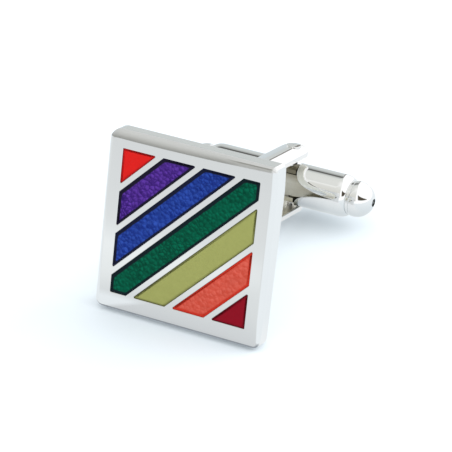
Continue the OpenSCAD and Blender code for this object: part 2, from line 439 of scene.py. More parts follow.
def frontRadius(u, v):
    # the buffing wheel rounded the front edge most at the top left, and hardly at the bottom
    first, even, faster = plate["topEdge"]
    end = first - even * u - faster * u * u if v > 0 else plate["lowEdge"]
    share = min(1, max(0, 8 * abs(v) - 7))      # only the last eighth of a side leads over to the next one
    return plate["sideEdge"] + (end - plate["sideEdge"]) * share * share * (3 - 2 * share)


def buildPlate():
    shape = newShape()
    half, thick, lip, pinchedFrom = plate["side"] / 2, plate["thick"], plate["lip"], plate["pinchedFrom"]
    outline = roundedLoop(squareOf(half), plate["corners"], 12)
    columns = []
    for k, here in enumerate(outline):
        for u, v, a, b in spotsAlong(here, outline[(k + 1) % len(outline)]):
            if u > 0:
                u -= plate["pinched"] * max(0, (v - pinchedFrom) / (half - pinchedFrom)) ** 2
            r = frontRadius(u / half, v / half)
            rear = plate["rear"] - plate["rearSpread"] * (1 + v / half) / 2
            profile = arc(rear, rear - thick, rear, -90, 0, 9) + arc(r, -r, r, 0, 90, 11)
            columns.append([row[0] for row in sweep([(u, v, a, b)], profile, faceOn)])
    rows = [list(row) for row in zip(*columns)]
    addGrid(shape, rows, closed=True)
    addFlat(shape, [pointsOf(rows[0])], Vector((0, 1, 0)))
    loops = [pointsOf(rows[-1])]
    wall = [(lip, 0, 90), (lip * 0.62, -lip * 0.08, 67), (lip * 0.29, -lip * 0.29, 45),
            (lip * 0.08, -lip * 0.62, 22), (0, -lip, 0), (0, -plate["cellWall"], 0)]
    for band in range(-3, 4):
        # the metal lies outside a cell's outline, so its directions are turned round
        path = [(u, v, -a, -b) for u, v, a, b in roundedLoop(cellCorners(band, 0), [plate["cellCorner"]], 6)]
        rows = sweep(path, wall, faceOn)
        addGrid(shape, rows, closed=True)
        loops.append(pointsOf(rows[0]))
    addFlat(shape, loops, Vector((0, -1, 0)))
    return shape


plateMetal = makeMetal("plateMetal", plateLook, plateFinish)
finishPiece("face_plate_polished", buildPlate(), plateMetal, "root", "face_plate")
print("face plate built")

# Enamel: colours are in the steps from 0 to 255
# the facet and crease amounts in these looks set how strong the painted light and shade of the hammered
# ground are
opaque = {"facetScale": 2500.0, "facets": 0.1, "creases": 0.05, "clouds": 0.04, "wander": 0.08,
          "rimStart": 0.0, "rimEnd": 0.24, "rimShift": 0.0, "rimDark": 0.85,
          "bump": 0.05, "bumpDepth": 0.00005, "roughness": 0.12, "gloss": 0.04}
clear = dict(opaque, facets=0.62, creases=0.8, clouds=0.2, wander=0.1, rimStart=0.24, rimEnd=0.34,
             rimShift=0.06, rimDark=0.97, bump=0.12)
enamels = {
    "red": dict(opaque, band=-3, colour=(206, 31, 28), light=(210, 37, 34), deep=(184, 24, 21),
                rim=(128, 14, 18)),
    "purple": dict(clear, band=-2, colour=(72, 38, 126), light=(98, 60, 164), deep=(36, 14, 84),
                   rim=(24, 22, 34), facets=0.55, creases=0.9),
    "blue": dict(clear, band=-1, colour=(25, 52, 133), light=(56, 88, 176), deep=(10, 22, 88),
                 rim=(22, 24, 40), facets=0.45, creases=0.6),
    "green": dict(clear, band=0, colour=(2, 76, 54), light=(6, 110, 82), deep=(0, 44, 32),
                  rim=(17, 26, 33), facets=0.4, creases=0.65),
    "olive": dict(opaque, band=1, colour=(149, 152, 89), light=(153, 156, 95), deep=(136, 139, 79),
                  rim=(72, 72, 40)),
    "coral": dict(opaque, band=2, colour=(196, 80, 65), light=(208, 96, 82), deep=(182, 62, 46),
                  rim=(184, 40, 24), creases=0.45, facets=0.6, clouds=0.08, rimStart=0.16, rimEnd=0.34),
    "crimson": dict(opaque, band=3, colour=(130, 15, 31), light=(136, 20, 36), deep=(112, 9, 23),
                    rim=(66, 6, 14))}


def nearer(a, b):
    return node("ShaderNodeMath", {"operation": "SMOOTH_MIN"}, i0=a, i1=b, i2=0.00025).outputs[0]


def makeCellGroup():
    # Distance from the cell's rim, bent a little by noise for an uneven dark outline
    group, gin, gout = newGroup("cellRim", [
        ("Middle", 0.0), ("Half Width", 0.001), ("Field Half", 0.007), ("Wander", 0.00005)], ["Distance"])
    where = objectSpot(group)
    at = splitUp(where)
    slant = times(minus(at["X"], at["Z"]), sqrt(0.5))
    toSide = minus(gin["Half Width"], unsigned(minus(slant, gin["Middle"])))
    toRight, toTop = (minus(gin["Field Half"], unsigned(at[k])) for k in "XZ")
    near = nearer(nearer(toSide, toRight), toTop)
    bend = times(minus(noise(where, 1400.0, 2.0), 0.5), gin["Wander"])
    plug(gout, Distance=plus(near, bend))
    return group


def makeGroundGroup():
    # The hammered metal that shows through clear enamel, in painted light and shade: each facet drawn lit on
    # one side, with thin dark crease lines of painted shade and paler middles
    group, gin, gout = newGroup("hammeredGround", [("Facet Scale", 900.0)], ["Facets", "Creases", "Clouds"])
    where, scale = objectSpot(group), gin["Facet Scale"]
    wobble = noise(where, 1700.0, 4.0, 0.65, "Color")
    shifted = node("ShaderNodeVectorMath", {"operation": "MULTIPLY_ADD"}, i0=wobble,
                   i1=(0.0006, 0.0006, 0.0006), i2=where).outputs[0]
    # painted light and shade: each dimple is drawn as if lit from one side, from the dome here against the
    # dome a little further up
    further = node("ShaderNodeVectorMath", {"operation": "ADD"}, i0=shifted, i1=(0.00003, 0.0, 0.00006))
    here, there = (node("ShaderNodeTexVoronoi", {"feature": "SMOOTH_F1"}, Vector=v, Scale=scale,
                        Smoothness=0.3).outputs["Distance"] for v in (shifted, further.outputs[0]))
    edges = node("ShaderNodeTexVoronoi", {"feature": "DISTANCE_TO_EDGE"}, Vector=shifted, Scale=scale)
    crease = slope(edges.outputs["Distance"], 0.16, 0.0)
    patches = slope(noise(where, 420.0, 2.0), 0.3, 0.62)
    plug(gout, Facets=slope(minus(there, here), -0.16, 0.16), Creases=times(crease, patches),
         Clouds=noise(where, 900.0, 5.0, 0.7))
    return group


cellRim = makeCellGroup()
hammeredGround = makeGroundGroup()


def makeEnamel(name, look):
    material, tree, shader = newMaterial(name)
    band = look["band"]
    wide = fieldHalf if abs(band) == 3 else 0      # the corners' fillings have one slanted side only
    middle = band * pitch + copysign(wide, band) + look["rimShift"]
    rim = placeGroup(tree, cellRim, Middle=middle * mm, Half_Width=(plate["stripe"] / 2 + wide) * mm,
                     Field_Half=fieldHalf * mm, Wander=look["wander"] * mm)
    ground = placeGroup(tree, hammeredGround, Facet_Scale=look["facetScale"])
    colour, light, deep, dark = (toLinear(look[k]) for k in ("colour", "light", "deep", "rim"))
    shadedSide, litSide = ([v + (w - v) * look["facets"] for v, w in zip(colour, c)] for c in (deep, light))
    # painted light and shade of the ground: each dimple's lit and shaded side, then painted shade along its
    # crease lines
    body = mixColour(ground["Facets"], shadedSide, litSide)
    body = mixColour(times(ground["Creases"], look["creases"]), body, deep)
    cloudy = node("ShaderNodeMapRange", Value=ground["Clouds"], From_Min=0.3, From_Max=0.7,
                  To_Min=1 - look["clouds"], To_Max=1 + look["clouds"])
    body = mixColour(1.0, body, cloudy.outputs[0], "MULTIPLY")
    outline = node("ShaderNodeMapRange", {"interpolation_type": "SMOOTHSTEP"}, Value=rim[0],
                   From_Min=look["rimStart"] * mm, From_Max=look["rimEnd"] * mm, To_Min=1.0, To_Max=0.0)
    body = mixColour(times(outline.outputs[0], look["rimDark"]), body, dark)
    bump = node("ShaderNodeBump", Strength=look["bump"], Distance=look["bumpDepth"], Height=ground["Clouds"])
    plug(shader, Base_Color=body, Normal=bump.outputs[0], Roughness=look["roughness"],
         Specular_IOR_Level=look["gloss"])
    return material


def buildEnamel(band):
    # a plain filling whose face bends down a little at the rim
    shape = newShape()
    path = roundedLoop(cellCorners(band, plate["enamelGap"]), [plate["cellCorner"]], 6)
    top = -plate["enamelDrop"]
    profile = [(0, -plate["cellDepth"], 0), (0, top - 0.02, 0), (0, top - 0.018, 60), (0.05, top - 0.012, 82),
               (0.12, top - 0.004, 86), (0.2, top, 90)]
    rows = sweep(path, profile, faceOn)
    addGrid(shape, rows, closed=True)
    addFlat(shape, [pointsOf(rows[-1])], Vector((0, -1, 0)))
    addFlat(shape, [pointsOf(rows[0])], Vector((0, 1, 0)))
    return shape


for colourName, look in enamels.items():
    fill, slotName = makeEnamel(colourName + "Enamel", look), "enamel_" + colourName
    finishPiece(slotName + "_fill", buildEnamel(look["band"]), fill, "root", slotName)
print("enamels built")

# The post with its foot and solder, in millimetres
post = {"rise": 0.3, "halfWidth": 1.5, "crown": 0.4, "gapHalf": 2.475, "armThick": 0.9, "slotBottom": 4.0,
        "edge": 0.16, "tipEdge": 0.55, "innerEdge": 0.12, "footTop": 2.8, "footRadius": 3.95,
        "footEdge": 0.12, "solderWide": 0.35, "solderHigh": 0.3, "solderGap": 0.012}
postLook = dict(polished, colour=(0.86, 0.865, 0.865), dulling=0.05, rippleSize=420.0, insideRough=0.32,
                insideColour=(0.86, 0.84, 0.77, 1), insideSoft=(2.56, 2.5), insideFrom=(3.9, 4.0),
                tipRough=0.3, tipFrom=(22.2, 22.7), tipAbove=(3.25, 3.4),
                litColour=(1.0, 0.97, 0.87, 1), litFrom=(2.0, 2.7), scatter=0.85)
solderLook = dict(polished, colour=(0.76, 0.77, 0.77), tone=0.9, roughness=0.28, dulling=0.3, lines=0.2,
                  rippleSize=1500.0, ripple=1.2, lineScale=3000.0, bump=0.6)


def postFinish(shader, look, at, colour, rough):
    # between the arms the buffing wheel didn't reach, and the upper arm's inner face is painted light: paler
    # and partly not metal, so that the toggle mirrors a light band
    inside = fade(unsigned(minus(at["Z"], post["rise"] * mm)), look["insideSoft"])
    inside = times(inside, fade(at["Y"], look["insideFrom"]))
    rough = mixValue(inside, rough, look["insideRough"])
    # painted light on the upper arm's inner face
    lit = fade(at["Z"], look["litFrom"])
    colour = mixColour(inside, colour, mixColour(lit, look["insideColour"], look["litColour"]))
    plug(shader, Metallic=minus(1.0, times(lit, inside, look["scatter"])))
    # the upper arm's round end is a little duller than the rest
    tip = times(fade(at["Y"], look["tipFrom"]), fade(at["Z"], look["tipAbove"]))
    return colour, mixValue(tip, rough, look["tipRough"])


def buildArm(runsOn):
    # one side of an arm, and its whole inner face; runsOn: its crown runs on over the round end
    w, gap, armHalf = post["halfWidth"], post["gapHalf"], post["gapHalf"] + post["armThick"]
    r, ri, footTop = post["edge"], post["innerEdge"], post["footTop"]
    crownRadius = (w * w + post["crown"] ** 2) / (2 * post["crown"])
    crownMiddle = armHalf - crownRadius
    edgeHeight = crownMiddle + sqrt((crownRadius - r) ** 2 - (w - r) ** 2)
    turned = degrees(atan2(edgeHeight - crownMiddle, w - r))
    outer = arc(r, edgeHeight, r, 0, turned, 5) + arc(w, crownMiddle, crownRadius, turned, 90, 14)[1:]
    bend = post["slotBottom"] + gap
    # stations along the side: plan point, outward direction, the inner edge's y and z, the way into the gap
    stations = [((w, footTop), (1, 0), (footTop, 0), (1, 0))]
    for i in range(17):
        a = pi / 2 * i / 16
        inner = (bend - gap * cos(a), gap * sin(a))
        stations.append(((w, footTop + (bend - footTop) * i / 16), (1, 0), inner, (cos(a), -sin(a))))
    for i in range(1, 13):
        y = bend + (pinReach - bend) * i / 12
        stations.append(((w, y), (1, 0), (y, gap), (0, -1)))
    for i in range(1, 17):
        a = pi / 2 * i / 16
        x, y = w * cos(a), pinReach + w * sin(a)
        stations.append(((x, y), (cos(a), sin(a)), (y, gap), (0, -1)))
    rows, faces = [], []
    for (x, y), (nx, ny), (iy, iz), (my, mz) in stations:
        out, into = Vector((nx, ny, 0)), Vector((0, my, mz))
        row = []
        for k in range(6):
            a = radians(-90 + 18 * k)
            p = Vector((x, iy, iz)) - out * ri * (1 - cos(a)) - into * ri * (1 + sin(a))
            row.append((p, out * cos(a) - into * sin(a)))
        for k, (inset, height, tilt) in enumerate(outer):
            a = radians(tilt)
            spot, facing = Vector((x, y, height)) - out * inset, out * cos(a) + Vector((0, 0, sin(a)))
            if runsOn and y > pinReach:
                # the arc across the arm stays as it is, and only its rim is rounded, more so at the tip
                rim = r + (post["tipEdge"] - r) * ny * ny
                start, first = rim * (crownRadius - nx * x) / (crownRadius - rim * nx * nx), outer[5][0]
                if k > 5:
                    start += (w - start) * (inset - first) / (w - first)
                edgeX = x - nx * start
                crown = Vector((edgeX / crownRadius, 0, sqrt(1 - (edgeX / crownRadius) ** 2)))
                spot = Vector((edgeX, y - ny * start, crownMiddle + crownRadius * crown.z))
                facing = crown
                if k <= 5:
                    a = pi / 2 * k / 5
                    facing = (out * cos(a) + crown * sin(a)).normalized()
                    spot += (facing - crown) * rim
            row.append((spot, facing))
        rows.append(row)
        faces.append([(row[0][0] * Vector((-1, 1, 1)), into), (row[0][0], into)])
    arm, innerFace = newShape(), newShape()
    addGrid(arm, rows, skip=lambda s, k: s == 0 and k < 5)
    addGrid(innerFace, faces[1:])
    return arm, innerFace


def buildPost():
    shape = newShape()
    for mirrored, runsOn in ((None, True), (2, False)):
        arm, innerFace = buildArm(runsOn)
        half = bothHalves(arm, 0)
        addCopy(half, innerFace)
        addCopy(shape, half, mirrored)
    return shape


def buildFoot():
    shape = newShape()
    r, edge, low, high = post["footRadius"], post["footEdge"], plate["thick"] - 0.02, post["footTop"]
    profile = [(0, low, 0)] + arc(edge, high - edge, edge, 0, 90, 5) + [(r - 0.02, high, 90)]
    addGrid(shape, sweep(circlePath(r, 96), profile, fromBack), closed=True)
    return shape


def buildSolder():
    # a hollow fillet that runs up the foot's side, a little uneven along its edge
    shape = newShape()
    near, wide, high = post["footRadius"] + post["solderGap"], post["solderWide"], post["solderHigh"]
    rows = []
    for k in range(9):
        t = pi / 2 * k / 8
        row = []
        for i in range(120):
            a = 2 * pi * i / 120
            uneven = 0.86 + 0.08 * sin(3 * a + 0.7) + 0.06 * sin(7 * a + 2.1)
            out = Vector((cos(a), 0, sin(a)))
            away, up = wide * uneven * (1 - sin(t)), high * uneven * (1 - cos(t))
            spot = out * (near + away) + Vector((0, plate["thick"] + up, 0))
            row.append((spot, out * sin(t) + Vector((0, cos(t), 0))))
        rows.append(row)
    addGrid(shape, rows, closed=True)
    return shape


lift = (0, 0, post["rise"])
postMetal = makeMetal("postMetal", postLook, postFinish)
solderMetal = makeMetal("solderMetal", solderLook)
finishPiece("post_arms", buildPost(), postMetal, "root", "post_frame", lift)
finishPiece("post_round_foot", buildFoot(), postMetal, "root", "post_foot", lift)
finishPiece("solder_fillet", buildSolder(), solderMetal, "root", "solder_joint", lift)
print("post built")

# The hinge pin, in millimetres; its flats are where the spring bears on it
pin = {"radius": 0.6, "half": 2.6, "headRadius": 0.72, "dome": 0.04, "proud": 0.08, "edge": 0.05,
       "flat": 0.45, "flatHalf": 0.9, "flatAt": -0.3}
pinLook = dict(polished, colour=(0.84, 0.84, 0.83), tone=0.95, roughness=0.08, dulling=0.1, rippleSize=900.0,
               ripple=0.8, lineScale=3200.0, lines=0.3, bump=0.25)


def buildPin():
    shape = newShape()
    low, high = pin["flatAt"] - pin["flatHalf"], pin["flatAt"] + pin["flatHalf"]
    rows = []
    for z, flatted in ((-pin["half"], 0), (low, 0), (low + 0.01, 1),
                       (high - 0.01, 1), (high, 0), (pin["half"], 0)):
        row = []
        for i in range(72):
            a = 2 * pi * (i + 0.5) / 72
            c, s = cos(a), sin(a)
            r = min(pin["radius"], pin["flat"] / max(abs(c), abs(s))) if flatted else pin["radius"]
            facing = Vector((c, s, 0))
            if r < pin["radius"]:
                facing = Vector((round(c), 0, 0)) if abs(c) > abs(s) else Vector((0, round(s), 0))
            row.append((Vector((r * c, pinReach + r * s, z)), facing))
        rows.append(row)
    addGrid(shape, rows, closed=True)
    # the riveted heads
    head = newShape()
    r, e, armHalf = pin["headRadius"], pin["edge"], post["gapHalf"] + post["armThick"]
    domeRadius = (r * r + pin["dome"] ** 2) / (2 * pin["dome"])
    domeMiddle = armHalf + pin["proud"] + pin["dome"] - domeRadius
    edgeRise = sqrt((domeRadius - e) ** 2 - (r - e) ** 2)
    start = degrees(atan2(edgeRise, r - e))
    profile = [(0, armHalf - 0.25, 0)] + arc(e, domeMiddle + edgeRise, e, 0, start, 4)
    profile += arc(r, domeMiddle, domeRadius, start, 89.7, 14)[1:]
    addGrid(head, sweep(circlePath(r, 64), profile, asPlan), closed=True)
    heads = bothHalves(head, 2)
    heads["points"] = [p + Vector((0, pinReach, 0)) for p in heads["points"]]
    addCopy(shape, heads)
    return shape


finishPiece("riveted_pin", buildPin(), makeMetal("pinMetal", pinLook), "root", "hinge_pin", lift)
print("pin built")

# The toggle with its knobs, in millimetres from the pin's axis
toggle = {"radius": 2.09, "hollow": 1.88, "rightEnd": 6.7, "leftEnd": 8.5, "shoulder": 0.45, "taper": 1.05,
          "slotReach": 5.6, "slotFlare": 0.3, "rim": 0.1, "innerRim": 0.03, "thinned": 0.11, "thinnedAt": 0.8,
          "coreHalf": 1.0, "coreRadius": 1.89, "coreFront": 1.0, "coreEdge": 0.08,
          "channel": 1.21, "channelBottom": 0.45, "neck": 1.65, "groove": 0.3, "ball": 1.76,
          "shank": 0.88, "shankRadius": 1.385, "holeRadius": 0.38, "holeDepth": 0.7}
toggleLook = dict(polished, lowColour=(0.66, 0.7, 0.72, 1), nearColour=(0.43, 0.47, 0.5, 1),
                  lowAt=(0.3, -1.3), nearPost=(5.2, 0.8), insideRough=0.27,
                  # the inside, corner and roof values below paint shade in the hollow
                  insideColour=(0.57, 0.55, 0.47, 1), insideSoft=(1.96, 1.93), insideEnd=(5.64, 5.6),
                  cornerColour=(0.2, 0.18, 0.13, 1), cornerFrom=(3.2, 1.0), cornerAbove=(-0.2, 0.8),
                  roof=(0.95, 1.5))
onPin = (0, pinReach, 0)
slotRun = toggle["slotReach"] - toggle["coreHalf"] + toggle["slotFlare"] * 1.85


def toggleFinish(shader, look, at, colour, rough):
    # the toggle's lower side is in its own shade, which is deeper near the post
    along = unsigned(at["X"])
    low = mixColour(fade(along, look["nearPost"]), look["lowColour"], look["nearColour"])
    colour = mixColour(fade(at["Z"], look["lowAt"]), colour, low)
    # inside the hollow halves the metal is hardly polished, and painted darker and warmer as shade, with
    # deeper painted shade in the corners
    back = minus(at["Y"], pinReach * mm)
    radius = maths("SQRT", plus(times(back, back), times(at["Z"], at["Z"])))
    inside = times(fade(radius, look["insideSoft"]), fade(along, look["insideEnd"]))
    corner = times(fade(along, look["cornerFrom"]), fade(at["Z"], look["cornerAbove"]))
    # and deeper painted shade in the hollow's upper part, under the upper arm
    corner = larger(corner, fade(at["Z"], look["roof"]))
    hollowShade = mixColour(corner, look["insideColour"], look["cornerColour"])
    return mixColour(inside, colour, hollowShade), mixValue(inside, rough, look["insideRough"])


def slotHalf(t):
    s = min(toggle["slotReach"] - t, slotRun - 0.05)
    return toggle["slotFlare"] * s / (slotRun - s) if s > 0 else 0.0


def ringPoint(t, radius, angle):
    # angles go round the toggle's axis from the front
    return Vector((t, -radius * cos(angle), radius * sin(angle)))


def slotEdge(t):
    # twice the middle of the slot's edge, between the bar's outside and its inside
    radii = toggle["radius"], toggle["hollow"]
    return sum((ringPoint(t, r, asin(min(1, slotHalf(t) / r))) for r in radii), Vector())


def buildLobe(end):
    # a quarter of the bar, from the core to one end: its outside, the slot's rim and its inside
    outerR, innerR, reach = toggle["radius"], toggle["hollow"], toggle["slotReach"]
    shoulder, taper = toggle["shoulder"], toggle["taper"]
    straight = end - taper
    stations = [toggle["coreHalf"] + 0.4 * (i / 14) ** 1.3 for i in range(15)]
    stations += [stations[-1] + (reach - stations[-1]) * (1 - (1 - i / 40) ** 1.6) for i in range(1, 41)]
    stations += [reach + (straight - reach) * i / 6 for i in range(1, 7)]
    sections = [(t, outerR, 0.0) for t in stations]
    for i in range(1, 13):
        a = pi / 2 * i / 12
        fall = atan2(shoulder * sin(a), taper * cos(a))
        sections.append((straight + taper * sin(a), outerR - shoulder * (1 - cos(a)), fall))
    rows, slotted = [], []
    for t, r, tilt in sections:
        h = slotHalf(t)
        slotted.append(h > 0)
        edgeR = innerR + toggle["thinned"] * min(1.0, h / toggle["thinnedAt"])
        outAngle, inAngle = asin(min(1, h / outerR)), asin(min(1, h / edgeR))
        room = min(1.0, sqrt(h / 0.3))       # the rim gets finer towards the slot's point
        e, ei = toggle["rim"] * room, toggle["innerRim"] * room
        corner, inCorner = ringPoint(t, outerR, outAngle), ringPoint(t, edgeR, inAngle)
        inward = (inCorner - corner).normalized()
        rimNormal = (slotEdge(t + 0.03) - slotEdge(t - 0.03)).cross(inward).normalized()
        if rimNormal.z > 0 and rimNormal.y > -0.5 or rimNormal.y > 0.2:
            rimNormal = -rimNormal
        row = []
        first, second = outAngle + e / outerR, inAngle + ei / edgeR
        for i in range(33):
            a = pi - (pi - first) * i / 32
            row.append((ringPoint(t, r, a), ringPoint(0, 1, a) * cos(tilt) + Vector((sin(tilt), 0, 0))))
        away, innerAway = (Vector((0, sin(a), cos(a))) for a in (outAngle, inAngle))
        for i in range(1, 6):
            a = pi / 2 * i / 5
            p = corner + away * e * (1 - sin(a)) + inward * e * (1 - cos(a))
            row.append((p, ringPoint(0, 1, outAngle) * cos(a) + rimNormal * sin(a)))
        for i in range(6):
            a = pi / 2 * i / 5
            p = inCorner - inward * ei * (1 - sin(a)) + innerAway * ei * (1 - cos(a))
            row.append((p, rimNormal * cos(a) - ringPoint(0, 1, inAngle) * sin(a)))
        for i in range(1, 25):
            a = second + (pi - second) * (i / 24) ** 1.2
            wallR = edgeR + (innerR - edgeR) * min(1, (a - second) / 0.5)
            row.append((ringPoint(t, wallR, a), -ringPoint(0, 1, a)))
        rows.append(row)
    shape = newShape()
    last = len(sections) - 13
    addGrid(shape, rows, skip=lambda s, k: (32 <= k < 44 and not (slotted[s] or slotted[s + 1]))
            or (s > last and k >= 38))
    # the end face inside the shoulder
    addGrid(shape, [[(ringPoint(end, r, pi * i / 32), Vector((1, 0, 0))) for i in range(33)]
                    for r in (outerR - shoulder, toggle["neck"] - 0.05)])
    return shape


def buildCore():
    # the solid middle, with a channel that the pin passes through
    shape = newShape()
    r, front, channel, bottom = (toggle[k] for k in ("coreRadius", "coreFront", "channel", "channelBottom"))
    half, edge = toggle["coreHalf"], toggle["coreEdge"]
    corner = sqrt(r * r - front * front)
    lead = atan2(front, corner)
    turn = [-lead + (pi + 2 * lead) * i / 48 for i in range(49)]
    outline = [Vector((0, sin(a), cos(a))) for a in turn]
    addGrid(shape, [[(n * r + Vector((x, 0, 0)), n) for n in outline] for x in (-half, half)])
    ahead = Vector((0, -1, 0))
    for side in (1, -1):
        inward = Vector((0, 0, -side))
        wall = [(-front, channel + edge * 0.5, ahead),
                (-front + edge * 0.2, channel + edge * 0.1, ahead + inward),
                (-front + edge * 0.6, channel, inward), (-bottom, channel, inward)]
        for strip in ([(-front, corner, ahead), (-front, channel + edge * 0.5, ahead)],
                      [(-bottom, channel, ahead), (-bottom, 0, ahead)], wall):
            addGrid(shape, [[(Vector((x, y, side * z)), n) for y, z, n in strip] for x in (-half, half)])
        loop = [n * r + Vector((side * half, 0, 0)) for n in outline]
        corners = (-front, -channel), (-bottom, -channel), (-bottom, channel), (-front, channel)
        loop += [Vector((side * half, y, z)) for y, z in corners]
        addFlat(shape, [loop], Vector((side, 0, 0)))
    return shape


def buildToggle():
    shape = newShape()
    addCopy(shape, bothHalves(buildLobe(toggle["rightEnd"]), 2))
    addCopy(shape, bothHalves(buildLobe(toggle["leftEnd"]), 2), 0)
    addCopy(shape, buildCore())
    return shape


def buildKnob(end):
    # from the shank in the bore past the neck and over the ball to the small hole in its tip
    shape = newShape()
    neck, ball, groove = toggle["neck"], toggle["ball"], toggle["groove"]
    hole, shank = toggle["holeRadius"], toggle["shankRadius"]
    start, finish = degrees(acos(groove / ball)) + 3 - 90, degrees(acos((hole + 0.04) / ball))
    back, rim, middle = end - toggle["shank"], end + groove, end + 2 * groove
    over = arc(ball, middle, ball, start, finish, 24)
    lip, bottom = over[-1][1], middle + ball - toggle["holeDepth"]
    # rows of (radius, place along the axis, tilt)
    stem = [(0.02, back, -90), (shank - 0.085, back, -90), (shank, back + 0.08, 0), (shank, end - 0.05, 0),
            (neck, end - 0.05, 0), (neck, rim - 0.04, 0), (neck + 0.01, rim - 0.01, -45),
            (neck + 0.04, rim, -90), (ball - 0.06, rim, -90), (ball - 0.015, rim + 0.012, -60)]
    bore = [(hole + 0.012, lip - 0.004, 120), (hole, lip - 0.03, 180), (hole, bottom, 180),
            (hole, bottom, 90), (0.01, bottom, 90)]
    before, after = ([(ball - r, x, t) for r, x, t in part] for part in (stem, bore))
    addGrid(shape, sweep(circlePath(ball, 72), before + over + after, alongX), closed=True)
    return shape


toggleMetal = makeMetal("toggleMetal", toggleLook, toggleFinish)
finishPiece("toggle_body", buildToggle(), toggleMetal, "toggle", "toggle_bar", onPin)
for side, mirrored in (("right", None), ("left", 0)):
    knob = newShape()
    addCopy(knob, buildKnob(toggle[side + "End"]), mirrored)
    finishPiece("knob_" + side, knob, toggleMetal, "toggle", "end_knob_" + side, onPin)
print("toggle built")

# The leaf spring, in millimetres from the pin's axis
spring = {"thick": 0.2, "halfWidth": 1.1, "tipHalf": 0.33, "half": 5.0, "bend": 1.1, "back": 0.64,
          "rise": 0.25, "sag": 0.05, "edge": 0.05}
springLook = dict(polished, colour=(0.58, 0.56, 0.49), tone=0.88, roughness=0.2, dulling=0.15,
                  rippleSize=500.0, ripple=0.3, lineScale=2600.0, lines=0.35, bump=0.3,
                  cornerColour=(0.26, 0.24, 0.18, 1), cornerAbove=(0.3, 1.1))


def springFinish(shader, look, at, colour, rough):
    # darker above, where the bar shades it
    return mixColour(fade(at["Z"], look["cornerAbove"]), colour, look["cornerColour"]), rough


def buildSpring():
    shape = newShape()
    half, bend, e, sag = (spring[k] for k in ("half", "bend", "edge", "sag"))
    rows = []
    for i in range(61):
        x = -half + 2 * half * i / 60
        out = max(0, (abs(x) - bend) / (half - bend))
        back = -spring["back"] - spring["rise"] * out
        front = back - spring["thick"]
        w = spring["halfWidth"] + (spring["tipHalf"] - spring["halfWidth"]) * out
        across = [-1 + k / 6 for k in range(13)]
        row = [(front + sag * (1 - s * s), s * (w - e), (-1, -2 * sag * s / w)) for s in across]
        row += [(front + e, w, (0, 1)), (back - e, w, (0, 1)), (back, w - e, (1, 0)), (back, e - w, (1, 0)),
                (back - e, -w, (0, -1)), (front + e, -w, (0, -1))]
        rows.append([(Vector((x, y, z)), Vector((0, *facing))) for y, z, facing in row])
    addGrid(shape, rows, closed=True)
    for row, side in ((rows[0], -1), (rows[-1], 1)):
        addFlat(shape, [pointsOf(row)], Vector((side, 0, 0)))
    return shape


springMetal = makeMetal("springMetal", springLook, springFinish)
finishPiece("click_spring", buildSpring(), springMetal, "toggle", "leaf_spring", onPin)
print("spring built")

# The studio: places on the table in millimetres, directions in degrees, and in metres the size of
# the table and the size and place of the lamp
studio = {
    "floorSize": 4.0, "floorColour": (0.745, 0.81, 0.855, 1), "floorRough": 0.9, "keepMirrored": 0.2,
    "skyLevel": 1.275, "keyLevel": 3.2, "keySize": 0.7, "keyPlace": (0.5, 0.28, 0.28),
    "metalShare": 0.87,      # what polished metal gives back, so a tone below is the one that it shows
    # painted reflections: tones that metal shows, by the height of what it mirrors
    "backLeft": ((-10, (200, 204, 203)), (20, (198, 202, 200)), (24, (187, 191, 190)), (31, (168, 171, 169)),
                 (36, (116, 116, 112)), (38, (88, 88, 86)), (43, (88, 88, 86)), (46, (178, 180, 178)),
                 (50, (194, 197, 194)), (56, (216, 218, 214)), (68, (220, 221, 217)), (80, (238, 238, 236)),
                 (90, (246, 246, 245))),
    "front": ((-10, (160, 162, 160)), (12, (158, 158, 155)), (18, (176, 176, 170)), (24, (206, 206, 200)),
              (40, (214, 214, 208)), (50, (218, 218, 213)), (60, (222, 223, 218)), (70, (229, 230, 227)),
              (80, (238, 238, 236)), (90, (246, 246, 245))),
    # and by where the table is that it mirrors in front of the plate, with a painted contact shadow close to
    # its foot
    "tableFront": ((-200, (204, 205, 204)), (-120, (208, 209, 208)), (-60, (214, 216, 215)),
                   (-34, (206, 208, 207)), (-24, (200, 202, 202)), (-18, (196, 198, 199)),
                   (-15, (182, 185, 187)), (-14, (146, 150, 156)), (-13.4, (88, 94, 104)),
                   (-12.8, (88, 94, 104)), (-12.5, (172, 177, 183)), (-12.2, (212, 217, 221))),
    "frontFrom": (-11.9, -12.2), "underneath": (0.97, 0.98, 0.98, 1),
    "leftPatch": (-45, -14, 6), "leftPatchFrom": (-85, -60), "leftPatchLift": 1.2,
    "besideLeft": (-7.3, -8.5), "besideFrom": (-26, -22), "besideRight": (9.5, 11.5),
    "beside": (0.89, 0.93, 0.95, 1),
    "behindFrom": (14, 22), "behindLeft": (-4, -12), "behind": (0.55, 0.6, 0.61, 1),
    # painted reflections of screens round the table: bright all round, but for these
    "bright": (1.2, 1.2, 1.2, 1), "backLeftTurn": (-132, -20, 1.5), "lowLeft": (1.05, 1.06, 1.08, 1),
    "lowLeftTurn": (-112, -46, 4), "lowLeftBelow": (40, 30), "frontFromTurn": (-122, -142),
    "frontRightTurn": (166, 172), "frontRightAbove": (12, 18),
    "dark": (0.09, 0.075, 0.055, 1), "stand": (-20.2, -18.4, 0.5), "standBelow": (42, 40),
    "cardTurn": (92, 153, 1.5), "cardSlant": (92, 150), "cardLow": ((10, 20), (13, 23)),
    "cardHigh": ((16, 55), (13, 52))}


def mirroredTones(value, stops):
    low, high = stops[0][0], stops[-1][0]
    ramp = node("ShaderNodeValToRGB", Fac=slope(value, low, high))
    marks = ramp.color_ramp.elements
    for k, (here, rgb) in enumerate(stops):
        place = (here - low) / (high - low)
        mark = marks[k] if k < 2 else marks.new(place)
        mark.position = place
        mark.color = [c / studio["metalShare"] for c in toLinear(rgb)[:3]] + [1]
    return ramp.outputs[0]


